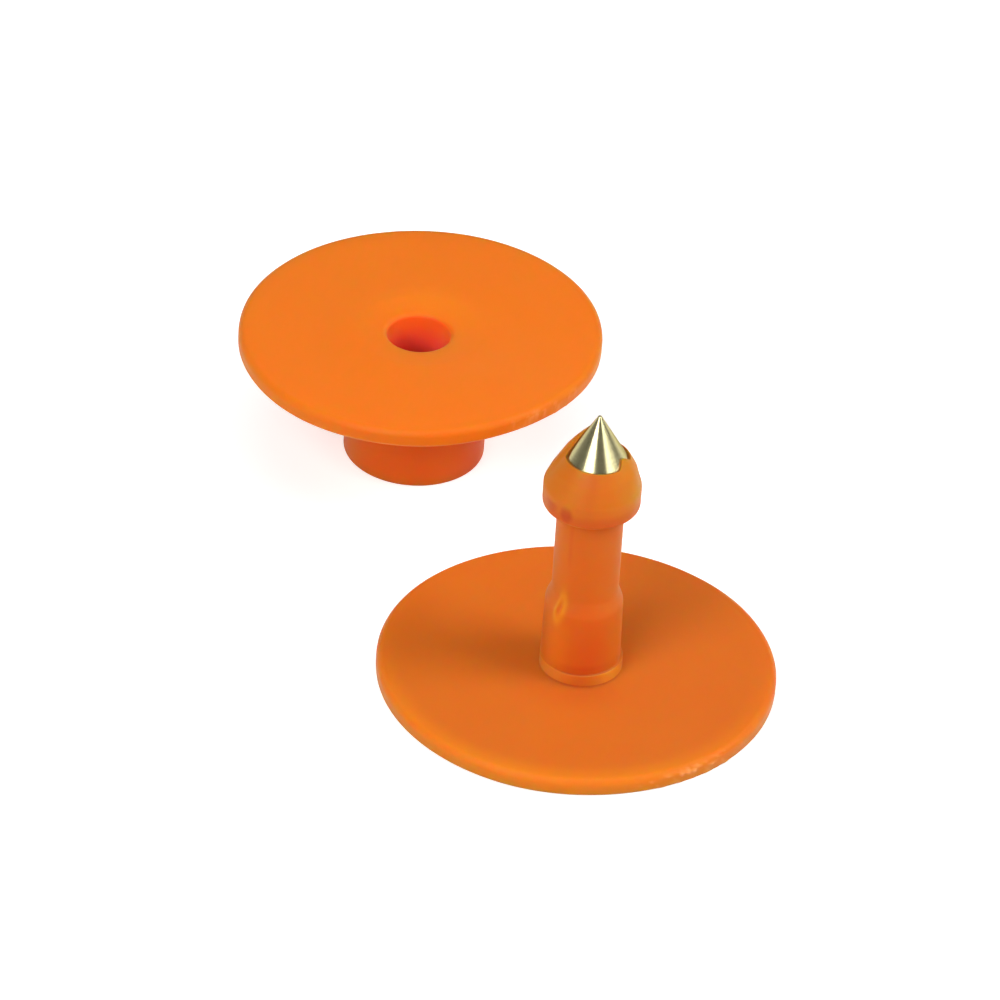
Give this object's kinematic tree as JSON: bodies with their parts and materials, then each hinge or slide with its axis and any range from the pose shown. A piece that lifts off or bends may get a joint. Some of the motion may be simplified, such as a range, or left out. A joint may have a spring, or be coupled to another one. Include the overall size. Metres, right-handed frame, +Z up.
{
  "type": "livestock ear tag",
  "caption": "Round two-piece button ear tag, open: a stud disc with a barbed, metal-pointed stem, and a socket disc with a collar.",
  "frame": {"origin": "on the axis of the male stem, at the mouth of the applicator bore, on the face that both halves stand on", "axes": "+Z up along the stem towards the point; -X and +Y point towards the female half, which stands collar down"},
  "size_m": [0.0427, 0.0577, 0.0239],
  "materials": {
    "tag_plastic": "satin orange polyurethane, slightly translucent",
    "tip_metal": "turned and plated, pale yellow"
  },
  "bodies": {
    "root": {"male_button": "tag_plastic", "piercing_tip": "tip_metal", "female_button": "tag_plastic"}
  },
  "joints": []
}
